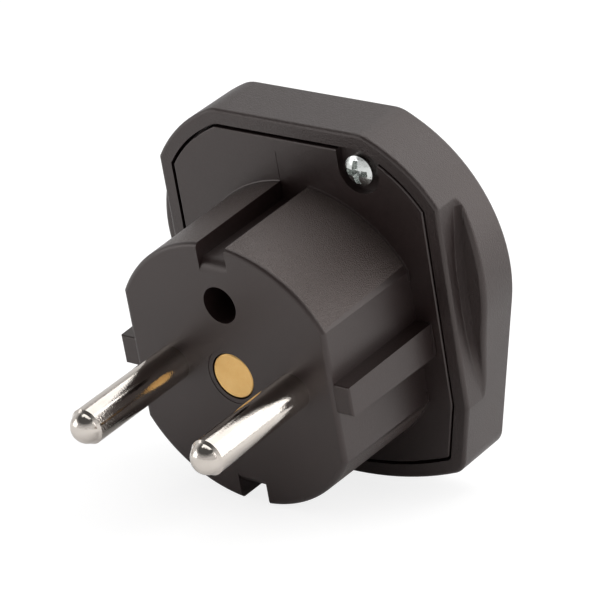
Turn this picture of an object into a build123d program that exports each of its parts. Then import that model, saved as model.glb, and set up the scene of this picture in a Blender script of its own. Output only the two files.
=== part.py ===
"""Travel adapter: a round two-pin plug in front and a two-blade socket in the housing behind it.

Millimetres. The origin is the centre of the plug face, midway between the pins. The pins point
along -Y, the housing lies behind at +Y, and +Z is up, towards the hole for an earth pin.
"""
import os
from math import cos, radians, sin, sqrt, tan

from build123d import *

# Plug body
plug_length = 17.2
plug_diameter = 36.4
plug_across_flats = 31.6
plug_draft = 1.0
plug_edge_round = 0.65
plug_root_round = 0.2
plug_wall = 1.9
face_wall = 2.5
rib_across = 36.2
rib_height = 4.0
rib_setback = 0.3
rib_edge_round = 0.3
groove_width = 4.4
groove_depth = 2.3
groove_nose_round = 1.7
groove_wall = 1.5

# Hole that clears the earth pin of a socket
earth_hole_diameter = 5.0
earth_hole_height = 10.0
earth_hole_depth = 15.0
earth_tube_wall = 1.4

# Pins
pin_spacing = 19.0
pin_diameter = 4.8
pin_length = 19.0
pin_dome_height = 1.7
pin_dome_diameter = 4.2
pin_shoulder_length = 0.35
pin_neck_diameter = 4.0
pin_seat_depth = 4.9
pin_boss_wall = 2.2
spigot_diameter = 3.2
spigot_head_diameter = 4.6
spigot_head_height = 0.9

# Rivet at the middle of the face
rivet_head_diameter = 6.1
rivet_head_thickness = 0.9
rivet_head_chamfer = 0.12
rivet_recess = 0.1
rivet_gap = 0.15
rivet_dish_diameter = 7.7
rivet_dish_depth = 0.06
rivet_shank_diameter = 3.2
rivet_tail_diameter = 5.4
rivet_tail_height = 0.9
rivet_tail_bore = 1.6
rivet_tail_bore_depth = 2.2
rivet_boss_diameter = 8.4

# Housing outline
housing_width = 50.6
housing_top = 26.9
housing_bottom = 23.0
crown_radius = 29.4
crown_corner_radius = 4.5
shoulder_radius = 20.9
side_lean = 13.0
corner_radius = 3.0
least_round = 0.5
bottom_radius = 49.0
grip_width = 44.0

# Housing section
housing_depth = 8.8
back_wall = 2.2
rim_width = 2.0
ledge_width = 1.4
rim_edge_round = 0.5
back_edge_round = 0.5

# Finger scoops: flat grips, the flare at their root and the wall behind them, which bows forward
scoop_depth = 2.45
scoop_middle = 4.5
scoop_bow_radius = 60.0
scoop_flare_radius = 0.8
brow_radius = 0.6

# Plate round the plug's root
plate_thickness = 2.2
plate_edge_round = 0.25
seam = 0.35
top_seam = 0.5
groove_pocket_height = 4.0
groove_pocket_depth = 0.05

# Casing screws
upper_screw_from_middle = 10.75
upper_screw_from_top = 4.95
lower_screw_from_side = 5.6
lower_screw_from_bottom = 7.5
screw_head_diameter = 4.1
screw_head_height = 1.75
screw_head_edge = 1.0
screw_diameter = 2.8
screw_length = 5.2
screw_recess_diameter = 6.2
screw_recess_depth = 1.0
screw_post_wall = 1.4
screw_cross_length = 3.3
screw_cross_width = 0.9
screw_cross_depth = 1.1
screw_cross_taper = 14.0

# Socket for flat blades
blade_spacing = 12.7
blade_height = -8.2
blade_slot_width = 2.2
line_slot_length = 7.3
neutral_slot_length = 9.1
slot_chamfer = 0.5
slot_collar_wall = 1.0
slot_collar_depth = 1.2

# Contacts
contact_thickness = 0.6
contact_width = 6.0
contact_pinch = 1.0
contact_mouth = 3.2
contact_root = 2.6
contact_pinch_from_mouth = 2.6
contact_mouth_gap = 0.6
contact_bend_radius = 0.6
lug_margin = 1.5
contact_bed_margin = 1.0

# Pin retainer
retainer_thickness = 2.4
retainer_width = 7.0
retainer_end_margin = 1.2

# Play between a bore and what sits in it, all round
fit_play = 0.05

# Levels along the depth of the adapter
plate_front = plug_length
plate_back = plate_front + plate_thickness
rim_front = plate_front
housing_back = rim_front + housing_depth
back_wall_face = housing_back - back_wall
lug_back = pin_seat_depth + contact_thickness
retainer_front = lug_back + spigot_head_height
retainer_back = retainer_front + retainer_thickness
screw_seat = plate_front + screw_recess_depth
blade_mouth = back_wall_face - slot_collar_depth
contact_tip = blade_mouth - contact_mouth_gap

# The plug grows a little towards its root, so that it leaves its mould
draft_growth = plug_length * tan(radians(plug_draft))
root_radius = plug_diameter / 2 + draft_growth
root_across_flats = plug_across_flats + 2 * draft_growth
rib_length = plug_length - rib_setback
rib_growth = rib_length * tan(radians(plug_draft))

sides = {"left": -1, "right": 1}
slot_lengths = {"left": neutral_slot_length, "right": line_slot_length}
reach = housing_width + housing_top + housing_bottom
grip_x = grip_width / 2
side_x = housing_width / 2
lean = radians(side_lean)
# Centre of the shoulders' round, inside the crown's
shoulder_x = side_x - shoulder_radius
shoulder_z = sqrt((crown_radius - shoulder_radius) ** 2 - shoulder_x**2)


def at_depth(depth):
    """A plane that faces the front at this depth, drawn with X to the right and Z up."""
    return Plane.XZ.offset(-depth)


def beside_middle(vertex):
    """Whether a corner of an outline lies off its middle line."""
    return abs(vertex.X) > seam


def leaning_side(height, inset=0.0):
    """How far the housing's leaning side, moved in by a margin, lies from the middle at this height."""
    return shoulder_x + (shoulder_radius - inset) / cos(lean) + tan(lean) * (height - shoulder_z)


def housing_outline(inset=0.0):
    """The housing from the front, moved in by a margin: flat top, crown, shoulders, leaning sides, bow."""
    top = housing_top - inset
    crown = crown_radius - inset
    shoulder = shoulder_radius - inset
    bow = bottom_radius - inset
    crown_half = sqrt(crown**2 - top**2)
    crown_scale = crown / (crown_radius - shoulder_radius)
    crown_end = (shoulder_x * crown_scale, shoulder_z * crown_scale)
    shoulder_end = (shoulder_x + shoulder * cos(lean), shoulder_z - shoulder * sin(lean))
    # The leaning side meets the bowed bottom where both give the same height
    side_base = leaning_side(0, inset)
    bow_centre = bottom_radius - housing_bottom
    half_b = side_base * tan(lean) - bow_centre
    spare = side_base**2 + bow_centre**2 - bow**2
    corner_z = (-half_b - sqrt(half_b**2 - spare / cos(lean) ** 2)) * cos(lean) ** 2
    corner = (leaning_side(corner_z, inset), corner_z)
    with BuildSketch() as outline:
        with BuildLine():
            Line((0, top), (crown_half, top))
            RadiusArc((crown_half, top), crown_end, crown)
            RadiusArc(crown_end, shoulder_end, shoulder)
            Line(shoulder_end, corner)
            RadiusArc(corner, (0, bow_centre - bow), bow)
            mirror(about=Plane.YZ)
        make_face()
        lowest = outline.vertices().filter_by(beside_middle).group_by(Axis.Y)[0]
        fillet(lowest, max(corner_radius - inset, least_round))
        highest = outline.vertices().filter_by(beside_middle).group_by(Axis.Y)[-1]
        fillet(highest, max(crown_corner_radius - inset, least_round))
    return outline.sketch


def rim_outline(inset):
    """The housing's front outline, narrowed at the grips and moved in by a margin."""
    with BuildSketch() as outline:
        add(housing_outline(inset))
        Rectangle(grip_width - 2 * inset, reach, mode=Mode.INTERSECT)
    return outline.sketch


def screw_recess_outline(place):
    """A round recess about a screw, open to the nearest edge of the plate."""
    x, z = place
    way_out = 1 if z > 0 else -1
    with BuildSketch() as outline:
        with Locations((x, z)):
            Circle(screw_recess_diameter / 2)
        with Locations((x, z + way_out * screw_recess_diameter / 2)):
            Rectangle(screw_recess_diameter, screw_recess_diameter)
    return outline.sketch


def groove_section():
    """The grooves from the side: a level floor, rounded over into the plug's face."""
    floor = plug_diameter / 2 - groove_depth
    nose = floor - groove_nose_round
    clear = root_radius + groove_depth
    with BuildSketch() as section:
        with BuildLine():
            TangentArc((0, nose), (groove_nose_round, floor), tangent=(0, 1))
            Polyline(
                (groove_nose_round, floor),
                (plate_front, floor),
                (plate_front, clear),
                (-groove_nose_round, clear),
                (-groove_nose_round, nose),
                (0, nose),
            )
        make_face()
        mirror(about=Plane.XZ)
    return section.sketch


def cavity_outline():
    """The hollow inside the plug, narrowed where the grooves come in from outside."""
    groove_inner = plug_diameter / 2 - groove_depth - groove_wall
    with BuildSketch() as outline:
        Circle(plug_diameter / 2 - plug_wall)
        Rectangle(plug_across_flats - 2 * plug_wall, plug_diameter, mode=Mode.INTERSECT)
        with GridLocations(0, 2 * groove_inner + plug_diameter, 1, 2):
            Rectangle(groove_width + 2 * groove_wall, plug_diameter, mode=Mode.SUBTRACT)
    return outline.sketch


# The lower screw keeps its distance from the nearer of the grip and the leaning side
lower_screw_z = lower_screw_from_bottom - housing_bottom
lower_screw_x = lower_screw_from_side - min(grip_x, leaning_side(lower_screw_z))
screw_places = {
    "upper": (upper_screw_from_middle, housing_top - upper_screw_from_top),
    "lower": (lower_screw_x, lower_screw_z),
}

# Plug base: the plug body and the plate behind it, moulded in one piece
pin_places = [(side * pin_spacing / 2, 0) for side in sides.values()]
pin_boss_diameter = pin_neck_diameter + 2 * pin_boss_wall

with BuildPart() as plug_base:
    with BuildSketch(at_depth(plate_front)):
        Circle(root_radius)
        Rectangle(root_across_flats, 2 * root_radius, mode=Mode.INTERSECT)
    extrude(amount=plug_length, taper=plug_draft)
    fillet(plug_base.faces().sort_by(Axis.Y)[0].edges(), plug_edge_round)
    with BuildSketch(at_depth(plate_front)):
        Rectangle(rib_across + 2 * rib_growth, rib_height + 2 * rib_growth)
    extrude(amount=rib_length, taper=plug_draft)
    rib_fronts = plug_base.faces().filter_by(Axis.Y).sort_by(Axis.Y)[1:3]
    rib_outside = plug_across_flats / 2 + rib_edge_round
    fillet(rib_fronts.edges().filter_by(lambda edge: abs(edge.center().X) > rib_outside), rib_edge_round)
    # Plate
    with BuildSketch(at_depth(plate_back)):
        add(rim_outline(rim_width + seam))
        with Locations((0, housing_top - rim_width - top_seam - reach / 2)):
            Rectangle(reach, reach, mode=Mode.INTERSECT)
    extrude(amount=plate_thickness)
    plate_face = plug_base.faces().filter_by(Axis.Y).sort_by(Axis.Y)[-2]
    fillet(plate_face.outer_wire().edges(), plate_edge_round)
    plate_face = plug_base.faces().filter_by(Axis.Y).sort_by(Axis.Y)[-2]
    fillet(plate_face.inner_wires().edges().filter_by(GeomType.CIRCLE), plug_root_round)
    # Grooves at the top and the bottom, clear of a socket's earth clips
    with BuildSketch(Plane.YZ):
        add(groove_section())
    extrude(amount=groove_width / 2, both=True, mode=Mode.SUBTRACT)
    with BuildSketch(at_depth(plate_front)):
        with Locations((0, root_radius), (0, -root_radius)):
            Rectangle(groove_width, 2 * groove_pocket_height)
        Circle(plug_diameter / 2 - groove_depth, mode=Mode.SUBTRACT)
    extrude(amount=-groove_pocket_depth, mode=Mode.SUBTRACT)
    # Hollow inside, open at the back
    with BuildSketch(at_depth(plate_back)):
        add(cavity_outline())
    extrude(amount=plate_back - face_wall, mode=Mode.SUBTRACT)
    # Seats inside for the pins, the contacts and the rivet, and the tube of the earth hole
    with BuildSketch(at_depth(pin_seat_depth)):
        with Locations(pin_places):
            Circle(pin_boss_diameter / 2)
        with GridLocations(blade_spacing, 0, 2, 1):
            with Locations((0, blade_height)):
                Rectangle(contact_root + 2 * contact_bed_margin, contact_width + 2 * contact_bed_margin)
    extrude(amount=pin_seat_depth - face_wall)
    with BuildSketch(at_depth(retainer_front)):
        Circle(rivet_boss_diameter / 2)
    extrude(amount=retainer_front - face_wall)
    with BuildSketch(at_depth(earth_hole_depth + earth_tube_wall)):
        with Locations((0, earth_hole_height)):
            Circle(earth_hole_diameter / 2 + earth_tube_wall)
    extrude(amount=earth_hole_depth + earth_tube_wall - face_wall)
    with BuildSketch(at_depth(earth_hole_depth)):
        with Locations((0, earth_hole_height)):
            Circle(earth_hole_diameter / 2)
    extrude(amount=earth_hole_depth, mode=Mode.SUBTRACT)
    # Bores for the necks of the pins
    with BuildSketch(at_depth(pin_seat_depth)):
        with Locations(pin_places):
            Circle(pin_neck_diameter / 2 + fit_play)
    extrude(amount=pin_seat_depth, mode=Mode.SUBTRACT)
    # Stepped bore for the rivet, with a shallow dish round its head
    with BuildSketch(at_depth(retainer_front)):
        Circle(rivet_shank_diameter / 2 + fit_play)
    extrude(amount=retainer_front, mode=Mode.SUBTRACT)
    with BuildSketch(at_depth(rivet_recess + rivet_head_thickness)):
        Circle(rivet_head_diameter / 2 + rivet_gap)
    extrude(amount=rivet_recess + rivet_head_thickness, mode=Mode.SUBTRACT)
    with BuildSketch(at_depth(rivet_dish_depth)):
        Circle(rivet_dish_diameter / 2)
    extrude(amount=rivet_dish_depth, mode=Mode.SUBTRACT)
    # Recesses and holes for the casing screws
    with BuildSketch(at_depth(screw_seat)):
        for place in screw_places.values():
            add(screw_recess_outline(place))
    extrude(amount=screw_recess_depth, mode=Mode.SUBTRACT)
    with BuildSketch(at_depth(plate_back)):
        with Locations(*screw_places.values()):
            Circle(screw_diameter / 2 + 2 * fit_play)
    extrude(amount=plate_thickness, mode=Mode.SUBTRACT)

# Finger scoops, from above: the wall bows about a level axis far behind it
scoop_wall = rim_front + scoop_depth
scoop_axis = Axis((0, scoop_wall + scoop_bow_radius, scoop_middle), (1, 0, 0))
flare_start = scoop_wall - scoop_flare_radius
flare_x = grip_x + scoop_flare_radius
clear_x = side_x + housing_depth
clear_y = rim_front - housing_depth


def scoop_edge(edge):
    """Whether an edge of a scoop lies on the outside of the housing, behind the rim."""
    return edge.geom_type != GeomType.CIRCLE and edge.center().Y > rim_front + rim_edge_round


# Socket housing: the shell that takes the plate in its rim and carries the slots at its back
with BuildPart() as socket_housing:
    with BuildSketch(at_depth(housing_back)):
        add(housing_outline())
    extrude(amount=housing_depth)
    with BuildSketch(Plane.XY.offset(scoop_middle)):
        with BuildLine():
            TangentArc((grip_x, flare_start), (flare_x, scoop_wall), tangent=(0, 1))
            Polyline(
                (flare_x, scoop_wall),
                (clear_x, scoop_wall),
                (clear_x, clear_y),
                (grip_x, clear_y),
                (grip_x, flare_start),
            )
        make_face()
        mirror(about=Plane.YZ)
    revolve(axis=scoop_axis, mode=Mode.SUBTRACT)
    fillet(socket_housing.edges(Select.LAST).filter_by(scoop_edge), brow_radius)
    fillet(socket_housing.faces().sort_by(Axis.Y)[0].edges(), rim_edge_round)
    fillet(socket_housing.faces().sort_by(Axis.Y)[-1].edges(), back_edge_round)
    # Seat for the plate, and the hollow behind its ledge
    with BuildSketch(at_depth(plate_back)):
        add(rim_outline(rim_width))
    extrude(amount=plate_thickness, mode=Mode.SUBTRACT)
    with BuildSketch(at_depth(back_wall_face)):
        add(rim_outline(rim_width + ledge_width))
    extrude(amount=back_wall_face - plate_back, mode=Mode.SUBTRACT)
    # Posts for the screws
    with BuildSketch(at_depth(back_wall_face)):
        with Locations(*screw_places.values()):
            Circle(screw_diameter / 2 + screw_post_wall)
    extrude(amount=back_wall_face - plate_back)
    with BuildSketch(at_depth(screw_seat + screw_length + fit_play)):
        with Locations(*screw_places.values()):
            Circle(screw_diameter / 2 + fit_play)
    extrude(amount=screw_seat + screw_length + fit_play - plate_back, mode=Mode.SUBTRACT)
    # Slots for the blades, each with a collar inside
    collar_width = blade_slot_width + 2 * slot_collar_wall
    for name, side in sides.items():
        with BuildSketch(at_depth(back_wall_face)):
            with Locations((side * blade_spacing / 2, blade_height)):
                Rectangle(collar_width, slot_lengths[name] + 2 * slot_collar_wall)
        extrude(amount=slot_collar_depth)
        with BuildSketch(at_depth(housing_back)):
            with Locations((side * blade_spacing / 2, blade_height)):
                Rectangle(blade_slot_width, slot_lengths[name])
        extrude(amount=back_wall + slot_collar_depth, mode=Mode.SUBTRACT)
    back_face = socket_housing.faces().filter_by(Axis.Y).sort_by(Axis.Y)[-1]
    chamfer(back_face.inner_wires().edges(), slot_chamfer)

# Plug pins: turned in one piece, with a shoulder on the face, a neck through it and a spigot
# riveted over the contact
plug_pins = {}
for name, side in sides.items():
    pin_x = side * pin_spacing / 2
    tip = -pin_length
    dome_end = tip + pin_dome_height
    with BuildPart() as plug_pin:
        with BuildSketch(Plane((pin_x, 0, 0))):
            with BuildLine():
                TangentArc((0, tip), (pin_dome_diameter / 2, dome_end), tangent=(1, 0))
                Polyline(
                    (pin_dome_diameter / 2, dome_end),
                    (pin_diameter / 2, dome_end + pin_shoulder_length),
                    (pin_diameter / 2, 0),
                    (pin_neck_diameter / 2, 0),
                    (pin_neck_diameter / 2, pin_seat_depth),
                    (spigot_diameter / 2, pin_seat_depth),
                    (spigot_diameter / 2, lug_back),
                    (spigot_head_diameter / 2, lug_back),
                    (spigot_diameter / 2, retainer_front),
                    (0, retainer_front),
                    (0, tip),
                )
            make_face()
        revolve(axis=Axis((pin_x, 0, 0), (0, 1, 0)))
    plug_pins[f"{name}_plug_pin"] = plug_pin

# Blade contacts: a sprung clip for the blade, folded from one strip with the lug under the pin's spigot
blade_contacts = {}
for name, side in sides.items():
    pin_x = side * pin_spacing / 2
    blade_x = side * blade_spacing / 2
    half_strip = contact_thickness / 2
    pinch_depth = contact_tip - contact_pinch_from_mouth
    web_depth = pin_seat_depth + half_strip
    root_half = contact_root / 2 - half_strip
    with BuildPart() as blade_contact:
        with BuildSketch(Plane((blade_x, 0, blade_height))):
            with BuildLine():
                FilletPolyline(
                    (contact_mouth / 2 + half_strip, contact_tip),
                    (contact_pinch / 2 + half_strip, pinch_depth),
                    (root_half, web_depth),
                    (-root_half, web_depth),
                    (-contact_pinch / 2 - half_strip, pinch_depth),
                    (-contact_mouth / 2 - half_strip, contact_tip),
                    radius=contact_bend_radius,
                )
            trace(line_width=contact_thickness)
        extrude(amount=contact_width / 2, both=True)
        with BuildSketch(at_depth(lug_back)):
            with Locations((pin_x, 0)):
                Circle(spigot_diameter / 2 + lug_margin)
            with Locations((blade_x, blade_height)):
                Rectangle(2 * (root_half - contact_bend_radius), contact_width)
            make_hull()
            with Locations((pin_x, 0)):
                Circle(spigot_diameter / 2 + fit_play, mode=Mode.SUBTRACT)
        extrude(amount=contact_thickness)
    blade_contacts[f"{name}_blade_contact"] = blade_contact

# Pin retainer: an insulating bar across both pin tails
retainer_length = pin_spacing + spigot_head_diameter + 2 * retainer_end_margin

with BuildPart() as pin_retainer:
    with BuildSketch(at_depth(retainer_back)):
        SlotOverall(retainer_length, retainer_width)
        Circle(rivet_shank_diameter / 2 + fit_play, mode=Mode.SUBTRACT)
    extrude(amount=retainer_thickness)

# Middle rivet: a flat head in the face and a tail closed over the retainer
head_back = rivet_recess + rivet_head_thickness
tail_back = retainer_back + rivet_tail_height

with BuildPart() as middle_rivet:
    with BuildSketch(Plane.XY):
        with BuildLine():
            Polyline(
                (0, rivet_recess),
                (rivet_head_diameter / 2 - rivet_head_chamfer, rivet_recess),
                (rivet_head_diameter / 2, rivet_recess + rivet_head_chamfer),
                (rivet_head_diameter / 2, head_back),
                (rivet_shank_diameter / 2, head_back),
                (rivet_shank_diameter / 2, retainer_back),
                (rivet_tail_diameter / 2, retainer_back),
                (rivet_shank_diameter / 2, tail_back),
                (rivet_tail_bore / 2, tail_back),
                (rivet_tail_bore / 2, tail_back - rivet_tail_bore_depth),
                (0, tail_back - rivet_tail_bore_depth),
                close=True,
            )
        make_face()
    revolve(axis=Axis.Y)

# Casing screws: pan heads with a cross, driven through the plate into the housing's posts
casing_screws = {}
for name, (x, z) in screw_places.items():
    head_top = screw_seat - screw_head_height
    head_edge = screw_seat - screw_head_edge
    screw_tip = screw_seat + screw_length
    with BuildPart() as casing_screw:
        with BuildSketch(Plane((x, 0, z))):
            with BuildLine():
                TangentArc((0, head_top), (screw_head_diameter / 2, head_edge), tangent=(1, 0))
                Polyline(
                    (screw_head_diameter / 2, head_edge),
                    (screw_head_diameter / 2, screw_seat),
                    (screw_diameter / 2, screw_seat),
                    (screw_diameter / 2, screw_tip - screw_diameter / 2),
                    (screw_diameter / 4, screw_tip),
                    (0, screw_tip),
                    (0, head_top),
                )
            make_face()
        revolve(axis=Axis((x, 0, z), (0, 1, 0)))
        with BuildSketch(at_depth(head_top)):
            with Locations((x, z)):
                Rectangle(screw_cross_length, screw_cross_width)
                Rectangle(screw_cross_width, screw_cross_length)
        extrude(amount=-screw_cross_depth, taper=screw_cross_taper, mode=Mode.SUBTRACT)
    casing_screws[f"{name}_casing_screw"] = casing_screw

pieces = {
    "plug_base": plug_base,
    "socket_housing": socket_housing,
    "pin_retainer": pin_retainer,
    "middle_rivet": middle_rivet,
    **plug_pins,
    **blade_contacts,
    **casing_screws,
}
os.makedirs("parts", exist_ok=True)
for name, piece in pieces.items():
    piece.part.label = name
    export_step(piece.part, f"parts/{name}.step")
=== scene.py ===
from math import atan2, radians

import bpy
from mathutils import Matrix, Vector

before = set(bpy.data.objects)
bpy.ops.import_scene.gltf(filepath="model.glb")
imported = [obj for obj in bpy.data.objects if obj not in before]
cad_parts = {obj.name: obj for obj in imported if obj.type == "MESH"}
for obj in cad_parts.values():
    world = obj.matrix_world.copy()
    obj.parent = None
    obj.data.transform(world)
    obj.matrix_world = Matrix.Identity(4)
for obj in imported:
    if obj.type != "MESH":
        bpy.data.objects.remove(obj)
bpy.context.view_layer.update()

MM = 0.001
MICRON = 0.001 * MM
WHITE = (1, 1, 1, 1)

# Camera: where it stands, what it looks at, and how it is rolled about its line of sight
camera_place = Vector((270.35, -286.21, 210.26)) * MM
camera_aim = Vector((-2.325, 17.2, 1.492)) * MM
camera_roll = radians(9.92)
camera_nearest = 10 * MM

# Its lens and sensor are in millimetres, as Blender takes them
camera_lens = 217.46
camera_sensor = 36

# The adapter leans back on the floor, on the nose of its plug and the rim of its housing
nose_contact = Vector((0, 0.3, -18.15)) * MM
rim_contact = Vector((0, 17.7, -23.02)) * MM
floor_size = 3.0

# How white the floor is as it lights the adapter
floor_white = 0.8

# How white its paint is, which takes the shadow, and how much white it gives off, to other kinds of ray
floor_tones = {
    "Is Transmission Ray": (0.95, 0.0),
    "Is Glossy Ray": (0.95, 0.0),
    "Is Camera Ray": (0.28, 0.82),
}

# How strong the white surroundings are as a light, to the eye, and in reflections from low down and high up
world_light = 0.4
world_seen = 1.0
world_low = 0.75
world_high = 0.1

# Where low ends and high begins, with level as 0 and straight up as 1
world_low_end = 0.38
world_high_start = 0.75

# Soft lamps: place, width and height in metres, and power in watts
lamp_aim = Vector((0, 10, 0)) * MM
lamps = {
    "overhead_lamp": {"place": Vector((-0.03, 0.3, 0.55)), "width": 0.7, "height": 0.7, "power": 2.4},
    "back_lamp": {"place": Vector((0.42, 0.46, 0.22)), "width": 1.1, "height": 0.7, "power": 3.6},
    "left_lamp": {"place": Vector((-0.35, -0.25, 0.12)), "width": 0.3, "height": 0.3, "power": 0.4},
}

# The part of a noise's range that most of it lies in, and how much finer detail a grain has
noise_low = 0.3
noise_high = 0.7
grain_detail = 2.0

# Plastic: clouds to the metre, how far roughness strays from its mean, and the warm tint of its gloss
cloud_grains = 90
plastic_smoother = 0.05
plastic_rougher = 0.07
plastic_tint = (1.0, 0.91, 0.88, 1)

# How strong the gloss of the black plastic is
black_sheen = 0.77

# Metal: patches of tarnish to the metre and their detail, and the share by which roughness strays
tarnish_grains = 400
tarnish_detail = 3.0
metal_stray = 0.3

# Zones of the black plastic: start and end are depths behind the plug's face, inner and outer are distances
# from its middle, and low, full and high are heights

# The round sides of the plug, between grooves and flats, have a coarse grain and a paler speckled colour: the
# speckle is the grain's, the paleness is painted light on these faces
round_side_radius = 16.5 * MM
round_side_inner = 2.3 * MM
round_side_outer = 15.6 * MM
round_side_start = 0.6 * MM
round_side_end = 16.95 * MM
round_grain_and_painted_light_low = (0.026, 0.0177, 0.0157)
round_grain_and_painted_light_high = (0.06, 0.0445, 0.04)
round_side_grains = 7000
round_side_detail = 1.0
round_side_depth = 90 * MICRON

# The root of the plug, where it meets the plate, is matt on the right of the groove
root_inner = 17.9 * MM
root_outer = 18.9 * MM
root_start = 16.9 * MM
root_end = 17.19 * MM
root_roughness = 1.0

# The flare at the root of a finger scoop is matt, and fades into the side at its lower end
flare_inner = 22.04 * MM
flare_outer = 22.75 * MM
flare_start = 17.75 * MM
flare_end = 21.3 * MM
flare_low = -10.0 * MM
flare_full = -1.0 * MM
flare_high = 17.5 * MM
flare_roughness = 0.85


class Shading:
    """The nodes of a material or of the surroundings."""

    def __init__(self, owner):
        owner.use_nodes = True
        self.owner = owner
        self.nodes = owner.node_tree.nodes
        self.links = owner.node_tree.links

    def set(self, socket, value):
        """Link an output to a socket, or set the socket where the value is a plain number or colour."""
        if isinstance(value, bpy.types.NodeSocket):
            self.links.new(value, socket)
        else:
            socket.default_value = value

    def add(self, kind, inputs=None):
        """A new node of this kind, with these values and links on its inputs."""
        node = self.nodes.new("ShaderNode" + kind)
        for name, value in (inputs or {}).items():
            self.set(node.inputs[name], value)
        return node

    def spread(self, value, start, end, low, high):
        """The value from start to end, spread from low to high."""
        limits = {"From Min": start, "From Max": end, "To Min": low, "To Max": high}
        return self.add("MapRange", {"Value": value, **limits}).outputs["Result"]


class Finish(Shading):
    """A material with one Principled shader and the textures that feed it."""

    def __init__(self, name):
        super().__init__(bpy.data.materials.new(name))
        self.sockets = self.nodes["Principled BSDF"].inputs
        self.place = self.add("TexCoord").outputs["Object"]

    def feed(self, socket, value):
        """Put a texture or a plain value on a socket of the shader."""
        self.set(self.sockets[socket], value)

    def fed(self, socket):
        """The texture that is on a socket of the shader now."""
        return self.sockets[socket].links[0].from_socket

    def noise(self, grains, detail=grain_detail):
        """Noise with so many grains to the metre, the same each way or one number for each axis."""
        scale = grains if isinstance(grains, tuple) else (grains,) * 3
        place = self.add("Mapping", {"Vector": self.place, "Scale": scale}).outputs["Vector"]
        return self.add("TexNoise", {"Vector": place, "Scale": 1.0, "Detail": detail}).outputs["Fac"]

    def between(self, noise, low, high):
        """A number between low and high, chosen by a noise."""
        return self.spread(noise, noise_low, noise_high, low, high)

    def shades(self, noise, dark, light):
        """A colour between dark and light, chosen by a noise."""
        node = self.add("ValToRGB", {"Fac": noise})
        stops = ((noise_low, dark), (noise_high, light))
        for element, (position, colour) in zip(node.color_ramp.elements, stops):
            element.position = position
            element.color = (*colour, 1)
        return node.outputs["Color"]

    def bump(self, height, depth, share=1.0, below=None):
        """A bump as deep as this, over a share of the surface, on top of another bump if one is given."""
        node = self.add("Bump", {"Height": height, "Distance": depth, "Strength": share})
        if below:
            self.set(node.inputs["Normal"], below)
        return node.outputs["Normal"]

    def blend(self, share, first, second):
        """The first colour, or the second where the share is 1."""
        node = self.add("Mix")
        node.data_type = "RGBA"
        for name, value in {"Factor": share, "A": first, "B": second}.items():
            self.set(node.inputs[name], value)
        return node.outputs["Result"]

    def maths(self, operation, *values):
        """One operation on one value or two."""
        node = self.add("Math", dict(enumerate(values)))
        node.operation = operation
        return node.outputs["Value"]

    def axes(self):
        """How far a point lies along each axis."""
        return self.add("SeparateXYZ", {"Vector": self.place}).outputs

    def inside(self, *ranges):
        """1 where each value lies between its start and its end, 0 elsewhere."""
        share = 1.0
        for value, start, end in ranges:
            share = self.maths("MULTIPLY", share, self.maths("GREATER_THAN", value, start))
            share = self.maths("MULTIPLY", share, self.maths("LESS_THAN", value, end))
        return share

    def dull(self, share, roughness):
        """Make the surface at least this rough where the share is 1."""
        dulled = self.maths("MULTIPLY", share, roughness)
        self.feed("Roughness", self.maths("MAXIMUM", self.fed("Roughness"), dulled))


def moulded_plastic(name, dark, light, grains, depth, roughness, sheen):
    """Plastic with faint clouds of shade and a fine grain."""
    finish = Finish(name)
    grain = finish.noise(grains)
    finish.feed("Base Color", finish.shades(finish.noise(cloud_grains), dark, light))
    finish.feed("Roughness", finish.between(grain, roughness - plastic_smoother, roughness + plastic_rougher))
    finish.feed("Normal", finish.bump(grain, depth))
    finish.feed("Specular IOR Level", sheen)
    finish.feed("Specular Tint", plastic_tint)
    return finish


def worked_metal(name, dark, light, grains, depth, roughness):
    """Metal with a slightly uneven colour and polish, and a fine grain."""
    finish = Finish(name)
    grain = finish.noise(grains)
    stray = roughness * metal_stray
    finish.feed("Base Color", finish.shades(finish.noise(tarnish_grains, tarnish_detail), dark, light))
    finish.feed("Roughness", finish.between(grain, roughness - stray, roughness + stray))
    finish.feed("Normal", finish.bump(grain, depth))
    finish.feed("Metallic", 1.0)
    return finish


def plug_plastic():
    """Satin black, with a coarse grain and a paler colour of painted light on the round sides of the plug,
    and a matt root.
    """
    finish = moulded_plastic(
        "plug_plastic",
        dark=(0.0115, 0.0056, 0.0052),
        light=(0.015, 0.0075, 0.007),
        grains=5200,
        depth=12 * MICRON,
        roughness=0.38,
        sheen=black_sheen,
    )
    x, y, z = finish.axes()
    across = finish.maths("ABSOLUTE", x)
    squares = finish.maths("ADD", finish.maths("MULTIPLY", x, x), finish.maths("MULTIPLY", z, z))
    radius = finish.maths("SQRT", squares)

    round_sides = finish.inside(
        (radius, round_side_radius, root_outer),
        (across, round_side_inner, round_side_outer),
        (y, round_side_start, round_side_end),
    )
    coarse = finish.noise(round_side_grains, round_side_detail)
    # Painted light: a paler speckled colour on the round sides, with the coarse grain's speckle in it
    grain_and_painted_light = finish.shades(coarse, round_grain_and_painted_light_low, round_grain_and_painted_light_high)
    finish.feed("Base Color", finish.blend(round_sides, finish.fed("Base Color"), grain_and_painted_light))
    finish.feed("Normal", finish.bump(coarse, round_side_depth, round_sides, finish.fed("Normal")))

    root = finish.inside((radius, root_inner, root_outer), (x, 0.0, root_outer), (y, root_start, root_end))
    finish.dull(root, root_roughness)
    return finish


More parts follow.
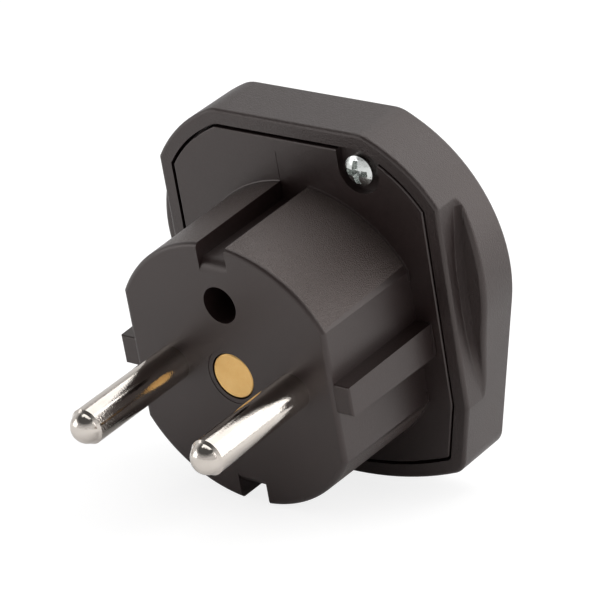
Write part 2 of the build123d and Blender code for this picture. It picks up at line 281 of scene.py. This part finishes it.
def housing_plastic():
    """Black with a fine matt grain, duller in the flares of the finger scoops."""
    finish = moulded_plastic(
        "housing_plastic",
        dark=(0.012, 0.0062, 0.0058),
        light=(0.016, 0.0084, 0.0078),
        grains=5600,
        depth=50 * MICRON,
        roughness=0.41,
        sheen=black_sheen,
    )
    x, y, z = finish.axes()
    across = finish.maths("ABSOLUTE", x)
    flares = finish.inside(
        (across, flare_inner, flare_outer),
        (y, flare_start, flare_end),
        (z, flare_low, flare_high),
    )
    fade = finish.spread(z, flare_low, flare_full, 0.0, 1.0)
    finish.dull(finish.maths("MULTIPLY", flares, fade), flare_roughness)
    return finish


def insulator_plastic():
    """Natural pale plastic."""
    return moulded_plastic(
        "insulator_plastic",
        dark=(0.5, 0.46, 0.38),
        light=(0.58, 0.54, 0.46),
        grains=3000,
        depth=20 * MICRON,
        roughness=0.5,
        sheen=0.5,
    )


def bright_nickel():
    """Polished nickel plate with a slight ripple."""
    return worked_metal(
        "bright_nickel",
        dark=(0.62, 0.565, 0.515),
        light=(0.68, 0.63, 0.58),
        grains=4800,
        depth=16 * MICRON,
        roughness=0.09,
    )


def matt_brass():
    """Plain brass with a matt face."""
    return worked_metal(
        "matt_brass",
        dark=(0.91, 0.56, 0.205),
        light=(0.97, 0.63, 0.25),
        grains=5000,
        depth=6 * MICRON,
        roughness=0.42,
    )


def stamped_brass():
    """Sheet brass with a grain that runs one way."""
    return worked_metal(
        "stamped_brass",
        dark=(0.68, 0.5, 0.22),
        light=(0.76, 0.58, 0.3),
        grains=(2000, 12000, 2000),
        depth=4 * MICRON,
        roughness=0.3,
    )


def zinc_plate():
    """Bright zinc on a slightly uneven screw head."""
    return worked_metal(
        "zinc_plate",
        dark=(0.62, 0.64, 0.62),
        light=(0.78, 0.8, 0.79),
        grains=2600,
        depth=40 * MICRON,
        roughness=0.2,
    )


def floor_paint():
    """White to the eye and in reflections, with the adapter's shadow on it, and clear from below."""
    paint = Shading(bpy.data.materials.new("floor_paint"))
    paint.nodes.remove(paint.nodes["Principled BSDF"])

    def coat(white, glow=0.0):
        """Matt paint, which also gives off some light of its own if asked."""
        matt = paint.add("BsdfDiffuse", {"Color": (white, white, white, 1)}).outputs["BSDF"]
        if not glow:
            return matt
        own = paint.add("Emission", {"Strength": glow}).outputs["Emission"]
        return paint.add("AddShader", {0: matt, 1: own}).outputs["Shader"]

    def either(share, first, second):
        """The first shader, or the second where the share is 1."""
        return paint.add("MixShader", {0: share, 1: first, 2: second}).outputs["Shader"]

    rays = paint.add("LightPath").outputs
    surface = coat(floor_white)
    for ray, (white, glow) in floor_tones.items():
        surface = either(rays[ray], surface, coat(white, glow))
    below = paint.add("NewGeometry").outputs["Backfacing"]
    clear = paint.add("BsdfTransparent").outputs["BSDF"]
    paint.set(paint.nodes["Material Output"].inputs["Surface"], either(below, surface, clear))
    return paint.owner


def white_surroundings():
    """White all round: a soft light, white to the eye, and darker overhead in reflections."""
    shell = Shading(bpy.data.worlds.new("white_surroundings"))
    direction = shell.add("TexCoord").outputs["Generated"]
    height = shell.add("SeparateXYZ", {"Vector": direction}).outputs["Z"]
    reflected = shell.spread(height, world_low_end, world_high_start, world_low, world_high)
    rays = shell.add("LightPath").outputs
    levels = {"Is Glossy Ray": reflected, "Is Transmission Ray": reflected, "Is Camera Ray": world_seen}
    strength = world_light
    for ray, level in levels.items():
        strength = shell.spread(rays[ray], 0, 1, strength, level)
    background = shell.nodes["Background"].inputs
    shell.set(background["Color"], WHITE)
    shell.set(background["Strength"], strength)
    return shell.owner


def soft_lamp(name, place, width, height, power):
    """An area lamp that looks at the adapter."""
    lamp = bpy.data.lights.new(name, "AREA")
    lamp.shape = "RECTANGLE"
    lamp.size = width
    lamp.size_y = height
    lamp.energy = power
    holder = bpy.data.objects.new(name, lamp)
    bpy.context.scene.collection.objects.link(holder)
    holder.location = place
    holder.rotation_mode = "QUATERNION"
    holder.rotation_quaternion = (lamp_aim - place).to_track_quat("-Z", "Y")


# Each finish, and the pieces that have it
finishes = {
    plug_plastic: ["plug_base"],
    housing_plastic: ["socket_housing"],
    insulator_plastic: ["pin_retainer"],
    bright_nickel: ["left_plug_pin", "right_plug_pin"],
    matt_brass: ["middle_rivet"],
    stamped_brass: ["left_blade_contact", "right_blade_contact"],
    zinc_plate: ["upper_casing_screw", "lower_casing_screw"],
}
for finish, pieces in finishes.items():
    material = finish().owner
    for piece in pieces:
        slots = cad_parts[piece].data.materials
        slots.clear()
        slots.append(material)

# The floor, tilted to meet the nose and the rim
lean = atan2(nose_contact.z - rim_contact.z, rim_contact.y - nose_contact.y)
bpy.ops.object.select_all(action="DESELECT")
bpy.ops.mesh.primitive_plane_add(size=floor_size, location=nose_contact, rotation=(-lean, 0, 0))
floor = bpy.context.active_object
floor.name = "floor"
floor.data.materials.append(floor_paint())

# Light
bpy.context.scene.world = white_surroundings()
for name, lamp in lamps.items():
    soft_lamp(name, **lamp)

# Camera
camera = bpy.data.objects.new("camera", bpy.data.cameras.new("camera"))
bpy.context.scene.collection.objects.link(camera)
camera.data.lens = camera_lens
camera.data.sensor_width = camera_sensor
camera.data.clip_start = camera_nearest
line_of_sight = (camera_aim - camera_place).normalized()
level = line_of_sight.to_track_quat("-Z", "Y").to_matrix()
turned = Matrix.Rotation(camera_roll, 3, line_of_sight) @ level
camera.matrix_world = Matrix.Translation(camera_place) @ turned.to_4x4()
bpy.context.scene.camera = camera

bpy.context.scene.view_settings.view_transform = "Standard"
